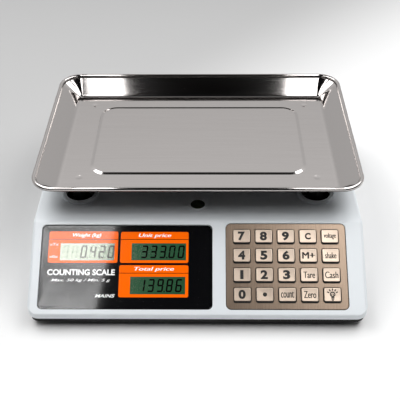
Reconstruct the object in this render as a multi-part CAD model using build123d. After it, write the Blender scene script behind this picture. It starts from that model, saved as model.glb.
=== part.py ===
from build123d import *
import math
import os

# A price-computing counter scale: a steel tray on four posts over a load cell, a white housing
# with a display window and a metal keypad on its sloped front, and a black base on screw feet.
# Millimetres. Origin on the table under the middle of the housing, +Z up, -Y to the front.

# ---- driving dimensions ----
BODY_W = 340.0
BODY_D = 330.0
TOP_Z = 72.0
LIP_Z = 19.0
SKIRT_Z = 13.0
CREST_Y = -83.8
REAR_TOP_Y = 153.0
WALL = 2.5
CORNER_R = 12.0
EDGE_R = 4.0
CREST_R = 9.0

BASE_Z = 5.0
BASE_INSET = 2.0
BASE_FLOOR = 2.5
TONGUE_H = 3.5
FIT_GAP = 0.3

TRAY_W = 340.0
TRAY_D = 230.0
TRAY_Y = 32.5
BEAD_R = 2.4
BEAD_Z = 110.6
TRAY_FLOOR_Z = 94.0
SHEET = 0.8
FLOOR_W = 292.0
FLOOR_D = 184.0
RIM_CORNER_R = 25.0
FLOOR_CORNER_R = 9.0
PANEL_RISE = 0.8
RAISED_W = 226.0
RAISED_D = 126.0
RAISED_R = 15.0

POST_X = 126.0
POST_DY = 71.0
POST_R = 8.5
POST_HOLE_R = 15.5
COLLAR_R = 19.5
COLLAR_Z = 75.0
PAD_R = 11.0
PAD_H = 3.0

LEVEL_Y = -57.5
LEVEL_R = 7.6
LEVEL_HOLE_R = 7.7
LEVEL_COLLAR_R = 9.8
LEVEL_COLLAR_Z = 73.2

WINDOW = (-72.0, 47.8, 174.0, 86.4)
WINDOW_R = 4.5
PANE_T = 1.6
FILM_T = 0.3
LEDGE_T = 2.5
LCD_W = 56.0
LCD_H = 18.3
LCD_T = 2.8
LCD_PLACES = {"lcd_weight": (-112.2, 32.3), "lcd_unit_price": (-39.2, 32.2), "lcd_total": (-39.7, 67.0)}

PLATE = (90.0, 47.0, 121.6, 88.2)
PLATE_R = 5.0
PLATE_T = 1.2
KEY_W = 17.4
KEY_H = 14.3
KEY_R = 1.8
KEY_PITCH_U = 22.4
KEY_PITCH_V = 20.0
KEY_FIRST = (45.2, 16.4)
KEY_TOP = 1.7
KEY_TRAVEL = 1.0
KEY_GAP = 0.25
KEY_NAMES = [
    ["key_7", "key_8", "key_9", "key_clear", "key_voltage"],
    ["key_4", "key_5", "key_6", "key_memory_plus", "key_shake"],
    ["key_1", "key_2", "key_3", "key_tare", "key_cash"],
    ["key_0", "key_point", "key_count", "key_zero", "key_light"],
]

REAR_WINDOW_W = 174.0
REAR_WINDOW_H = 36.0
REAR_WINDOW_V = -2.0
REAR_LCD_U = (-56.0, 0.0, 56.0)

CELL = (130.0, 30.0, 22.0)
CELL_Z = 32.0
SPIDER_Z = 58.0
SPIDER_T = 4.0
ARM_W = 18.0
BOLT_R = 3.0
BOLT_X = (46.0, 58.0)
STOP_X = 36.0
STOP_FOOT_Z = 18.0

BATTERY = (101.0, 70.0, 47.0)
BATTERY_AT = (-100.0, 96.0)
BAY = (103.0, 72.0)
BAY_WALL = 2.0
BAY_TOP = 50.0
DOOR = (109.0, 78.0, 2.0)
DOOR_SCREW_R = 1.0
DOOR_SCREW_LAP = 1.4

SIDE_POCKET = (104.0, 41.0, 66.0, 25.0)
POCKET_DEPTH = 4.0
SOCKET_DEPTH = 12.0
SWITCH_Y = 121.0
SWITCH_PIVOT_X = 158.4
SWITCH_TILT = 8.0
INLET_Y = 88.0

BOARD_Z = 14.0
BOARD_AT = (-75.0, -28.0)
FOOT_X = 148.0
FOOT_Y = 143.0
FOOT_PAD_R = 12.0
FOOT_PAD_H = 2.6
WHEEL_R = 11.0
WHEEL_LOW = 3.0
WHEEL_HIGH = 4.6
STUD_R = 4.0
STUD_TOP = 17.0
PIVOT_R = 3.0
RUNNING = 0.06
BOSS_R = 6.5
BOSS_TOP = 18.0
SCREW_X = 163.0
SCREW_BOSS_R = 5.0
SCREW_BOSS_TOP = 38.0
SCREW_R = 1.5
SCREW_HEAD_R = 3.0
SCREW_PLACES = [(x, y) for x in (-SCREW_X, SCREW_X) for y in (-112.0, 12.0, 148.0)]

SLOPE = math.degrees(math.atan2(TOP_Z - LIP_Z, CREST_Y + BODY_D / 2))
REAR_LEAN = math.degrees(math.atan2(BODY_D / 2 - REAR_TOP_Y, TOP_Z - LIP_Z))

# The sloped front: local X across, local Y up the slope, local Z out of the face.
FRONT = Plane(
    origin=(0, CREST_Y, TOP_Z),
    x_dir=(1, 0, 0),
    z_dir=(0, -math.sin(math.radians(SLOPE)), math.cos(math.radians(SLOPE))),
)
# The rear face, seen from behind, with its origin at mid height.
REAR = Plane(
    origin=(0, (BODY_D / 2 + REAR_TOP_Y) / 2, (TOP_Z + LIP_Z) / 2),
    x_dir=(-1, 0, 0),
    z_dir=(0, math.cos(math.radians(REAR_LEAN)), math.sin(math.radians(REAR_LEAN))),
)
SIDE = Plane(origin=(BODY_W / 2, 0, 0), x_dir=(0, 1, 0), z_dir=(1, 0, 0))


def slab(plane, u, v, width, height, low, high, radius=0.0):
    """A rounded block on a plane, centred at (u, v), from depth low to depth high."""
    outline = RectangleRounded(width, height, radius) if radius else Rectangle(width, height)
    return plane * Pos(u, v, low) * extrude(outline, high - low)


def front_slab(place, low, high, grow=0.0, radius=0.0):
    """A block on the sloped front; v is measured down the slope from the crest."""
    u, v, width, height = place
    return slab(FRONT, u, -v, width + grow, height + grow, low, high, radius)


def block(x, y, low, size_x, size_y, high):
    return Pos(x, y, (low + high) / 2) * Box(size_x, size_y, high - low)


def rod(x, y, low, high, radius):
    return Pos(x, y, (low + high) / 2) * Cylinder(radius, high - low)


def corners(half_x, half_y, centre_y=0.0):
    return [(x, centre_y + y) for x in (-half_x, half_x) for y in (-half_y, half_y)]


POSTS = corners(POST_X, POST_DY, TRAY_Y)
FEET = corners(FOOT_X, FOOT_Y)
BOARD_POSTS = [(BOARD_AT[0] + x, BOARD_AT[1] + y) for x, y in corners(44, 22)]
STOPS = corners(STOP_X, STOP_X * POST_DY / POST_X, TRAY_Y)


def key_place(row, column):
    return KEY_FIRST[0] + column * KEY_PITCH_U, KEY_FIRST[1] + row * KEY_PITCH_V


def keys():
    for row, names in enumerate(KEY_NAMES):
        for column, name in enumerate(names):
            u, v = key_place(row, column)
            yield name, u, v


# ---- tray ----
def pan(floor_z, shrink):
    """The flared pan as a solid, from its floor to the middle of its rim bead."""
    low = Pos(0, TRAY_Y, floor_z) * RectangleRounded(
        FLOOR_W - 2 * shrink, FLOOR_D - 2 * shrink, FLOOR_CORNER_R
    )
    width = TRAY_W - 2 * BEAD_R - 2 * shrink
    depth = TRAY_D - 2 * BEAD_R - 2 * shrink
    high = Pos(0, TRAY_Y, BEAD_Z) * RectangleRounded(width, depth, RIM_CORNER_R - BEAD_R)
    return loft([low, high])


def weighing_tray():
    shell = pan(TRAY_FLOOR_Z - SHEET, 0) - pan(TRAY_FLOOR_Z, SHEET)
    raised = Pos(0, TRAY_Y, TRAY_FLOOR_Z) * extrude(RectangleRounded(RAISED_W, RAISED_D, RAISED_R), PANEL_RISE)
    under = Pos(0, TRAY_Y, TRAY_FLOOR_Z - SHEET) * extrude(
        RectangleRounded(RAISED_W - 2 * SHEET, RAISED_D - 2 * SHEET, RAISED_R - SHEET), PANEL_RISE
    )
    outline = Pos(0, TRAY_Y, BEAD_Z) * RectangleRounded(
        TRAY_W - 2 * BEAD_R, TRAY_D - 2 * BEAD_R, RIM_CORNER_R - BEAD_R
    )
    path = outline.wire()
    bead = sweep(Plane(origin=path @ 0, z_dir=path % 0) * Circle(BEAD_R), path=path)
    return shell + raised - under + bead


def tray_pads():
    top = TRAY_FLOOR_Z - SHEET - FIT_GAP
    return [rod(x, y, top - PAD_H, top, PAD_R) for x, y in POSTS]


def tray_posts():
    top = TRAY_FLOOR_Z - SHEET - FIT_GAP - PAD_H
    foot = SPIDER_Z + SPIDER_T
    return [rod(x, y, foot, top, POST_R) + rod(x, y, foot, foot + 3, POST_R + 3) for x, y in POSTS]


# ---- weighing mechanism ----
def bolt_points(side):
    return [(side * x, TRAY_Y) for x in BOLT_X]


def platform_spider():
    low, high = SPIDER_Z, SPIDER_Z + SPIDER_T
    plate = block(0, TRAY_Y, low, 150, 56, high)
    for x, y in POSTS:
        length = math.hypot(x, y - TRAY_Y)
        turn = math.degrees(math.atan2(y - TRAY_Y, x))
        arm = Pos(x / 2, (y + TRAY_Y) / 2, (low + high) / 2) * Rot(0, 0, turn) * Box(length, ARM_W, SPIDER_T)
        plate += arm + rod(x, y, low, high, POST_R + 5)
    plate += block((BOLT_X[0] + BOLT_X[1]) / 2, TRAY_Y, CELL_Z + CELL[2], 26, CELL[1], low)
    for x, y in bolt_points(1):
        plate -= rod(x, y, CELL_Z, high, BOLT_R)
    return plate


def load_cell():
    bar = block(0, TRAY_Y, CELL_Z, CELL[0], CELL[1], CELL_Z + CELL[2])
    middle = CELL_Z + CELL[2] / 2
    for x in (-14, 14):
        bar -= Pos(x, TRAY_Y, middle) * Rot(90, 0, 0) * Cylinder(7.5, CELL[1])
    bar -= block(0, TRAY_Y, middle - 2, 28, CELL[1], middle + 2)
    for side in (-1, 1):
        for x, y in bolt_points(side):
            bar -= rod(x, y, CELL_Z, CELL_Z + CELL[2], BOLT_R)
    return bar


def cell_mount_plate():
    plate = block(-52, TRAY_Y, CELL_Z - 8, 36, CELL[1], CELL_Z - 4)
    plate += block(-52, TRAY_Y, CELL_Z - 4, 26, CELL[1], CELL_Z)
    for x, y in bolt_points(-1):
        plate -= rod(x, y, CELL_Z - 8, CELL_Z, BOLT_R)
    return plate


def load_cell_bolts():
    fixed = [rod(x, y, CELL_Z - 8, CELL_Z + CELL[2], BOLT_R) for x, y in bolt_points(-1)]
    fixed = [
        shank + rod(x, y, CELL_Z + CELL[2], CELL_Z + CELL[2] + 3, BOLT_R + 2)
        for shank, (x, y) in zip(fixed, bolt_points(-1))
    ]
    top = SPIDER_Z + SPIDER_T
    free = [rod(x, y, CELL_Z + 4, top, BOLT_R) + rod(x, y, top, top + 4, BOLT_R + 2) for x, y in bolt_points(1)]
    return fixed + free


def overload_stops():
    return [
        rod(x, y, STOP_FOOT_Z, SPIDER_Z - 1.5, 2.5) + rod(x, y, SPIDER_Z - 8, SPIDER_Z - 5, 4.5)
        for x, y in STOPS
    ]


# ---- housing ----
def housing_form(inset):
    """The outer form of the housing, or the form inside its wall when inset is the wall."""
    drop = SKIRT_Z if inset == 0 else SKIRT_Z - 20
    half = BODY_D / 2
    outline = Polygon(
        (-half, drop),
        (-half, LIP_Z),
        (CREST_Y, TOP_Z),
        (REAR_TOP_Y, TOP_Z),
        (half, LIP_Z),
        (half, drop),
        align=None,
    )
    high = outline.vertices().filter_by_position(Axis.Y, TOP_Z - 1, TOP_Z + 1).sort_by(Axis.X)
    outline = fillet(high[0], CREST_R)
    high = outline.vertices().filter_by_position(Axis.X, REAR_TOP_Y - 1, REAR_TOP_Y + 1)
    outline = fillet(high.sort_by(Axis.Y)[-1], CREST_R)
    lip = outline.vertices().filter_by_position(Axis.Y, LIP_Z - 1, LIP_Z + 1).sort_by(Axis.X)[0]
    outline = fillet(lip, 2.5)
    if inset:
        outline = offset(outline, -inset)
    bar = extrude(Plane.YZ * outline, BODY_W / 2 - inset, both=True)
    if inset == 0:
        ends = bar.faces().sort_by(Axis.X)
        loops = ends[0].edges() + ends[-1].edges()
        bar = fillet([edge for edge in loops if edge.bounding_box().max.Z > SKIRT_Z + 1], EDGE_R)
    plan = RectangleRounded(BODY_W - 2 * inset, BODY_D - 2 * inset, CORNER_R - inset)
    return bar & (Pos(0, 0, drop - 30) * extrude(plan, TOP_Z + 60))


def collar(x, y, radius, top):
    """A raised ring with a rounded brow, down to the underside of the top wall."""
    ring = rod(x, y, TOP_Z - WALL, top, radius)
    return fillet(ring.edges().sort_by(Axis.Z)[-1], 1.1)


def framed_opening(shell, form, outline, depth, lap):
    """Cut a recess for a flush panel with an opening behind it and a ledge round the opening."""
    ledge = outline(-depth - LEDGE_T, -depth, 6.0) & form
    shell = shell + ledge
    return shell - outline(-depth, 2.0, 2 * FIT_GAP) - outline(-depth - 3 * LEDGE_T, 0.0, -lap)


def window_outline(low, high, grow):
    return front_slab(WINDOW, low, high, grow, WINDOW_R + grow / 2)


def plate_outline(low, high, grow):
    return front_slab(PLATE, low, high, grow, PLATE_R + grow / 2)


def rear_outline(low, high, grow):
    return slab(REAR, 0, REAR_WINDOW_V, REAR_WINDOW_W + grow, REAR_WINDOW_H + grow, low, high, 4 + grow / 2)


def side_pocket(low, high, grow=0.0):
    y, z, length, height = SIDE_POCKET
    return slab(SIDE, y, z, length + grow, height + grow, low, high, 3 + grow / 2)


def top_housing():
    form = housing_form(0)
    shell = form - housing_form(WALL)
    shell = framed_opening(shell, form, window_outline, PANE_T + FILM_T, 8.0)
    shell = framed_opening(shell, form, plate_outline, PLATE_T, 6.0)
    shell = framed_opening(shell, form, rear_outline, PANE_T, 8.0)
    shell += side_pocket(-POCKET_DEPTH - WALL, -1, 2 * WALL)
    shell -= side_pocket(-POCKET_DEPTH, 1)
    shell -= switch_body() + inlet_body()
    for x, y in POSTS:
        shell += collar(x, y, COLLAR_R, COLLAR_Z)
    shell += collar(0, LEVEL_Y, LEVEL_COLLAR_R, LEVEL_COLLAR_Z)
    for x, y in POSTS:
        shell -= rod(x, y, TOP_Z - 2 * WALL, COLLAR_Z, POST_HOLE_R)
    shell -= rod(0, LEVEL_Y, TOP_Z - 2 * WALL, LEVEL_COLLAR_Z, LEVEL_HOLE_R)
    for x, y in SCREW_PLACES:
        shell += rod(x, y, SKIRT_Z, SCREW_BOSS_TOP, SCREW_BOSS_R) & form
        shell -= rod(x, y, SKIRT_Z, SCREW_BOSS_TOP - 4, SCREW_R)
    return shell


def plan_slab(inset, low, high):
    outline = RectangleRounded(BODY_W - 2 * inset, BODY_D - 2 * inset, CORNER_R - inset)
    return Pos(0, 0, low) * extrude(outline, high - low)


def bottom_base():
    floor = BASE_Z + BASE_FLOOR
    wall = WALL + FIT_GAP + 2.5
    shell = plan_slab(BASE_INSET, BASE_Z, SKIRT_Z)
    shell = chamfer(shell.faces().sort_by(Axis.Z)[0].edges(), 2.0)
    shell += plan_slab(WALL + FIT_GAP, SKIRT_Z, SKIRT_Z + TONGUE_H)
    shell -= plan_slab(wall, floor, SKIRT_Z + TONGUE_H)
    for x, y in FEET:
        shell += rod(x, y, BASE_Z, BOSS_TOP, BOSS_R)
    for x, y in SCREW_PLACES:
        shell -= rod(x, y, SKIRT_Z, SKIRT_Z + TONGUE_H, SCREW_BOSS_R + FIT_GAP)
        shell += rod(x, y, BASE_Z, SKIRT_Z, SCREW_BOSS_R - 1)
    for x, y in BOARD_POSTS:
        shell += rod(x, y, floor, BOARD_Z, 3)
    for x, y in STOPS:
        shell += rod(x, y, floor, STOP_FOOT_Z, 5)
    shell += block(-52, TRAY_Y, floor, 36, CELL[1], CELL_Z - 8)
    x, y = BATTERY_AT
    shell += block(x, y, BASE_Z, DOOR[0] + 4, DOOR[1] + 4, BASE_Z + DOOR[2] + 2)
    shell += block(x, y, floor, BAY[0] + 2 * BAY_WALL, BAY[1] + 2 * BAY_WALL, BAY_TOP)
    shell -= block(x, y, BASE_Z, BAY[0], BAY[1], BAY_TOP)
    shell -= block(x, y, BASE_Z, DOOR[0] + 0.4, DOOR[1] + 0.4, BASE_Z + DOOR[2])
    for x, y in FEET:
        shell -= rod(x, y, BASE_Z, BOSS_TOP, STUD_R + RUNNING)
    for x, y in SCREW_PLACES:
        shell -= rod(x, y, BASE_Z, SKIRT_Z, SCREW_R) + rod(x, y, BASE_Z, BASE_Z + 2, SCREW_HEAD_R)
    shell -= door_screw(BASE_Z + DOOR[2], BASE_Z + DOOR[2] + 1.9)
    return shell


def housing_screws():
    return [
        rod(x, y, BASE_Z + 2, SCREW_BOSS_TOP - 6, SCREW_R) + rod(x, y, BASE_Z + 0.2, BASE_Z + 2, SCREW_HEAD_R)
        for x, y in SCREW_PLACES
    ]


# ---- display ----
def front_window():
    return window_outline(-PANE_T, 0.0, 0.0)


def front_mask():
    film = window_outline(-PANE_T - FILM_T, -PANE_T, 0.0)
    for u, v in LCD_PLACES.values():
        film -= front_slab((u, v, LCD_W, LCD_H), -PANE_T - FILM_T, -PANE_T)
    return film


def lcd(u, v):
    top = -PANE_T - FILM_T
    return front_slab((u, v, LCD_W + 6, LCD_H + 6), top - LCD_T, top)


def front_display_board():
    top = -PANE_T - FILM_T - LCD_T
    board = front_slab((WINDOW[0], WINDOW[1], WINDOW[2] - 4, WINDOW[3] - 4), top - 1.6, top)
    chip = front_slab((WINDOW[0] + 20, WINDOW[1], 24, 12), top - 3.6, top - 1.6)
    return board + chip


def rear_window():
    return rear_outline(-PANE_T, 0.0, 0.0)


def rear_lcds():
    return [slab(REAR, u, REAR_WINDOW_V, 50, 20, -PANE_T - LCD_T, -PANE_T) for u in REAR_LCD_U]


def rear_display_board():
    top = -PANE_T - LCD_T
    return slab(REAR, 0, REAR_WINDOW_V, REAR_WINDOW_W - 4, REAR_WINDOW_H - 4, top - 1.6, top)


# ---- keypad ----
def keypad_plate():
    plate = plate_outline(-PLATE_T, 0.0, 0.0)
    for name, u, v in keys():
        plate -= front_slab((u, v, KEY_W, KEY_H), -PLATE_T, 0.0, 2 * KEY_GAP, KEY_R + KEY_GAP)
    return plate


def key_cap(u, v):
    cap = front_slab((u, v, KEY_W, KEY_H), -PLATE_T - 0.3, KEY_TOP, radius=KEY_R)
    top = cap.faces().sort_by(lambda face: FRONT.to_local_coords(face.center()).Z)[-1]
    cap = chamfer(top.edges(), 0.7)
    flange = front_slab((u, v, KEY_W + 2, KEY_H + 2), -PLATE_T - 0.95, -PLATE_T - 0.15)
    stem = front_slab((u, v, 10, 7), -PLATE_T - 1.4, -PLATE_T - 0.95)
    return cap + flange + stem


def keypad_mat():
    top = -PLATE_T - LEDGE_T - 0.3
    return front_slab((PLATE[0], PLATE[1], PLATE[2] - 3, PLATE[3] - 3), top - 1.2, top)


def keypad_board():
    top = -PLATE_T - LEDGE_T - 1.5
    return front_slab((PLATE[0], PLATE[1], PLATE[2] - 3, PLATE[3] - 3), top - 1.6, top)


# ---- power and electronics ----
def switch_body():
    return slab(SIDE, SWITCH_Y, SIDE_POCKET[1], 22, 14, -POCKET_DEPTH - SOCKET_DEPTH, 0)


def inlet_body():
    return slab(SIDE, INLET_Y, SIDE_POCKET[1], 21, 11, -POCKET_DEPTH - SOCKET_DEPTH, 0)


def switch_frame():
    z = SIDE_POCKET[1]
    body = switch_body() - side_pocket(-POCKET_DEPTH, 1)
    body += slab(SIDE, SWITCH_Y, z, 25, 17, -POCKET_DEPTH, -POCKET_DEPTH + 1.6, 1.5)
    body -= slab(SIDE, SWITCH_Y, z, 19, 11, -POCKET_DEPTH - SOCKET_DEPTH + 1.5, 0)
    return body - rocker_pin(13.6, 1.0 + RUNNING)


def rocker_pin(length, radius):
    return Pos(SWITCH_PIVOT_X, SWITCH_Y, SIDE_POCKET[1]) * Cylinder(radius, length)


def power_rocker():
    outline = Polygon((8.4, -8.2), (6.8, 0), (8.4, 8.2), (-1.4, 5.6), (-1.4, -5.6), align=None)
    rocker = extrude(outline, 5.2, both=True) + Cylinder(1.0, 13.2)
    return Pos(SWITCH_PIVOT_X, SWITCH_Y, SIDE_POCKET[1]) * Rot(0, 0, -SWITCH_TILT) * rocker


def mains_inlet():
    z = SIDE_POCKET[1]
    body = inlet_body() - side_pocket(-POCKET_DEPTH, 1)
    body += slab(SIDE, INLET_Y, z, 24, 14, -POCKET_DEPTH, -POCKET_DEPTH + 1.6, 2)
    body -= slab(SIDE, INLET_Y, z, 15.6, 8, -POCKET_DEPTH - SOCKET_DEPTH + 2, 0, 3.9)
    floor_x = BODY_W / 2 - POCKET_DEPTH - SOCKET_DEPTH + 2
    for y in (INLET_Y - 4.5, INLET_Y + 4.5):
        body += Pos(floor_x + 3.5, y, z) * Rot(0, 90, 0) * Cylinder(1.2, 8)
    return body


def transformer():
    core = block(95, 100, BASE_Z + BASE_FLOOR, 50, 22, 49)
    coil = block(95, 100, 15, 34, 42, 43)
    return core + coil + block(95, 100, BASE_Z + BASE_FLOOR, 66, 16, BASE_Z + BASE_FLOOR + 1.5)


def main_board():
    x, y = BOARD_AT
    board = block(x, y, BOARD_Z, 100, 56, BOARD_Z + 1.6)
    board += block(x - 20, y + 6, BOARD_Z + 1.6, 22, 22, BOARD_Z + 4)
    board += block(x + 30, y - 14, BOARD_Z + 1.6, 24, 12, BOARD_Z + 14)
    for step in range(3):
        board += rod(x + 14 + 10 * step, y + 14, BOARD_Z + 1.6, BOARD_Z + 14, 4)
    return board


def battery():
    x, y = BATTERY_AT
    low = BASE_Z + DOOR[2]
    body = block(x, y, low, BATTERY[0], BATTERY[1], low + BATTERY[2])
    for side in (-20, 20):
        body += block(x + side, y - 20, low + BATTERY[2], 6, 1, low + BATTERY[2] + 3)
    return body


def door_screw(low, high):
    x, y = BATTERY_AT
    return rod(x, y - BAY[1] / 2 - DOOR_SCREW_LAP, low, high, DOOR_SCREW_R)


def battery_door():
    x, y = BATTERY_AT
    door = block(x, y, BASE_Z, DOOR[0], DOOR[1], BASE_Z + DOOR[2])
    for step in range(5):
        door -= block(x + 30, y - 16 + 8 * step, BASE_Z, 24, 3, BASE_Z + 0.8)
    return door - door_screw(BASE_Z, BASE_Z + DOOR[2])


def battery_door_screw():
    return door_screw(BASE_Z + 0.2, BASE_Z + DOOR[2] + 1.9)


def spirit_level():
    vial = rod(0, LEVEL_Y, TOP_Z - WALL - 8, TOP_Z + 0.4, LEVEL_R)
    return vial + rod(0, LEVEL_Y, TOP_Z - WALL - 2, TOP_Z - WALL, LEVEL_R + 1.6)


# ---- feet ----
def foot_pad(x, y):
    pad = rod(x, y, 0, FOOT_PAD_H, FOOT_PAD_R)
    pad = fillet(pad.edges().sort_by(Axis.Z)[-1], 0.8)
    return pad - rod(x, y, 0.9, FOOT_PAD_H, PIVOT_R + RUNNING)


def foot_screw(x, y):
    wheel = rod(x, y, WHEEL_LOW, WHEEL_HIGH, WHEEL_R)
    for step in range(12):
        turn = math.radians(30 * step)
        wheel -= rod(x + WHEEL_R * math.cos(turn), y + WHEEL_R * math.sin(turn), WHEEL_LOW, WHEEL_HIGH, 1.4)
    return wheel + rod(x, y, WHEEL_HIGH, STUD_TOP, STUD_R) + rod(x, y, 1.0, WHEEL_LOW, PIVOT_R)


def build():
    nodes = {
        "weighing_tray": weighing_tray(),
        "tray_pads": tray_pads(),
        "tray_posts": tray_posts(),
        "platform_spider": platform_spider(),
        "load_cell": load_cell(),
        "load_cell_bolts": load_cell_bolts(),
        "cell_mount_plate": cell_mount_plate(),
        "overload_stops": overload_stops(),
        "top_housing": top_housing(),
        "bottom_base": bottom_base(),
        "housing_screws": housing_screws(),
        "front_window": front_window(),
        "front_mask": front_mask(),
        "front_display_board": front_display_board(),
        "rear_window": rear_window(),
        "rear_lcds": rear_lcds(),
        "rear_display_board": rear_display_board(),
        "keypad_plate": keypad_plate(),
        "keypad_mat": keypad_mat(),
        "keypad_board": keypad_board(),
        "main_board": main_board(),
        "transformer": transformer(),
        "battery": battery(),
        "battery_door": battery_door(),
        "battery_door_screw": battery_door_screw(),
        "spirit_level": spirit_level(),
        "switch_frame": switch_frame(),
        "power_rocker": power_rocker(),
        "mains_inlet": mains_inlet(),
    }
    for name, (u, v) in LCD_PLACES.items():
        nodes[name] = lcd(u, v)
    for name, u, v in keys():
        nodes[name] = key_cap(u, v)
    for number, (x, y) in enumerate(FEET, start=1):
        nodes[f"foot_pad_{number}"] = foot_pad(x, y)
        nodes[f"foot_screw_{number}"] = foot_screw(x, y)
    return nodes


os.makedirs("parts", exist_ok=True)
for name, shape in build().items():
    if isinstance(shape, list):
        shape = Compound(children=shape)
    export_step(shape, f"parts/{name}.step")
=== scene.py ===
import math

import bpy
from mathutils import Matrix, Vector


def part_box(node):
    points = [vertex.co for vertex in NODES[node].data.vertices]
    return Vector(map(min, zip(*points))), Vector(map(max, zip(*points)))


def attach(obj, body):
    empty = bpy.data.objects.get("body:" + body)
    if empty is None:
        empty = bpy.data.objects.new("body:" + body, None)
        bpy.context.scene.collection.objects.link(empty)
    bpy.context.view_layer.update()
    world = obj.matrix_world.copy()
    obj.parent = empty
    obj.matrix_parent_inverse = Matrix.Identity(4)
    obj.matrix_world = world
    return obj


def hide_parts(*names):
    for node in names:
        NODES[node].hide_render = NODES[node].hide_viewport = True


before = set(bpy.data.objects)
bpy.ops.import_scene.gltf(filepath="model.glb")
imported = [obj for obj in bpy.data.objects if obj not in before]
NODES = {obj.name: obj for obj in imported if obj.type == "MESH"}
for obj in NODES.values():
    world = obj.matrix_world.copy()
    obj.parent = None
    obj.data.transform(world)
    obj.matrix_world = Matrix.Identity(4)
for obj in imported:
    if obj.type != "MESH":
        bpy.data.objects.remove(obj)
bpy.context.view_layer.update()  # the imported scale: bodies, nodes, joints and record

MM = 0.001
EDGE_ANGLE = 32  # degrees between two faces past which an edge is a sharp one

# ---- places taken from the frame ----
PAN_LOW, PAN_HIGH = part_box("weighing_tray")
PAN_MID_Y = (PAN_LOW[1] + PAN_HIGH[1]) / 2
PAN_W = PAN_HIGH[0] - PAN_LOW[0]
PAN_D = PAN_HIGH[1] - PAN_LOW[1]

# ---- the pan, in millimetres ----
BEAD_R = 2.4
PAN_FLOOR_Z = 94.0
PAN_SHEET = 0.8
RIM_CORNER = 25.0
FLOOR_SIZE = (292.0, 184.0, 9.0)
PANEL_SIZE = (226.0, 126.0, 15.0)
PANEL_RISE = 0.8
PANEL_SLOPE = 3.8
RIM_FLAT = 2.3
FLOOR_FOLD = 3.0
POST_AWAY = (126.0, 71.0)

# ---- the sloped front and its window, keys and displays, in millimetres ----
TOP_Z = 72.0
LIP_Z = 19.0
CREST_Y = -83.8
BODY_D = 330.0
SLOPE = math.atan2(TOP_Z - LIP_Z, CREST_Y + BODY_D / 2)
PANE_T = 1.6
FILM_T = 0.3
LCD_SIZE = (56.0, 18.3)
KEY_W = 17.4
KEY_H = 14.3
KEY_R = 1.8
KEY_TOP = 1.7
KEY_FOOT = -0.9
KEY_EDGE = 1.05
KEY_INK = 0.06
# How far the painted shadow below each key reaches past its lower edge, in millimetres.
KEY_SHADOW_DROP = 1.3
PLATE_TOP = 0.005
KEY_FIRST = (45.2, 16.4)
KEY_PITCH = (22.4, 20.0)
KEY_ROWS = [
    [("key_7", "7"), ("key_8", "8"), ("key_9", "9"), ("key_clear", "C"), ("key_voltage", "voltage")],
    [("key_4", "4"), ("key_5", "5"), ("key_6", "6"), ("key_memory_plus", "M+"), ("key_shake", "shake")],
    [("key_1", "1"), ("key_2", "2"), ("key_3", "3"), ("key_tare", "Tare"), ("key_cash", "Cash")],
    [("key_0", "0"), ("key_point", ""), ("key_count", "count"), ("key_zero", "Zero"), ("key_light", "")],
]
# Width and height of each printed word; digits share one size.
WORD_SIZE = {
    "C": (6.0, 7.0),
    "M+": (12.2, 6.8),
    "voltage": (12.0, 6.8),
    "shake": (11.2, 6.2),
    "Tare": (11.2, 6.6),
    "Cash": (13.0, 6.8),
    "count": (12.6, 6.4),
    "Zero": (12.0, 7.0),
}

# ---- openings in the sloped front: middle across, middle down, width, height, corner, in millimetres ----
WINDOW = (-72.0, 47.8, 174.0, 86.4, 5.0)
KEY_PLATE = (90.0, 47.0, 121.6, 88.2, 5.5)
# Width of the painted shadow rings round the window and the keypad plate, in millimetres.
SHADOW_RING_W = 0.45

# ---- the rear face with the customer display, in millimetres ----
REAR_TOP_Y = 153.0
REAR_LEAN = math.atan2(BODY_D / 2 - REAR_TOP_Y, TOP_Z - LIP_Z)
REAR_V = -2.0
REAR_LCD_U = (-56.0, 0.0, 56.0)
REAR_LCD_SIZE = (46.0, 16.4)
REAR_LCD_DROP = 3.6

# ---- the spirit level, the rocker and the mains inlet, in millimetres and degrees ----
LEVEL_Y = -57.5
LEVEL_FLUID_R = 7.55
ROCKER_PIVOT = (158.4, 121.0, 41.0)
ROCKER_TILT = -8.0
ROCKER_HALF = 11.04
PIN_X = 159.85
PIN_AWAY = 4.5

# ---- the studio, in metres ----
BOX_Z = 1.15
BOX_GLOW = 4.35
# Each soft box on the right: middle across, middle along, width, length, skew in degrees, drop.
SOFT_BOXES = [
    ("strip", 0.265, -0.03, 0.095, 0.78, 0.0, 0.0),
    ("wide", 0.67, 0.24, 0.58, 1.32, 0.0, 0.0),
    ("front", 0.402, -0.56, 0.27, 0.38, 14.6, 0.01),
]


def face_of(origin, across, outward):
    """The place of a face: its origin in mm, the way across it and the way out of it."""
    across = Vector(across)
    outward = Vector(outward)
    turn = Matrix((across, outward.cross(across), outward)).transposed().to_4x4()
    return Matrix.Translation(Vector(origin) * MM) @ turn


FRONT = face_of((0, CREST_Y, TOP_Z), (1, 0, 0), (0, -math.sin(SLOPE), math.cos(SLOPE)))
REAR = face_of(
    (0, (BODY_D / 2 + REAR_TOP_Y) / 2, (TOP_Z + LIP_Z) / 2),
    (-1, 0, 0),
    (0, math.cos(REAR_LEAN), math.sin(REAR_LEAN)),
)


# ---- hand tools ----
def settle():
    """Deselect everything, so the next primitive is shaped alone."""
    if bpy.context.object and bpy.context.object.mode != "OBJECT":
        bpy.ops.object.mode_set(mode="OBJECT")
    bpy.ops.object.select_all(action="DESELECT")


def take(*pieces):
    """Select these pieces alone, the last one active."""
    settle()
    for piece in pieces:
        piece.select_set(True)
    bpy.context.view_layer.objects.active = pieces[-1]


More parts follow.
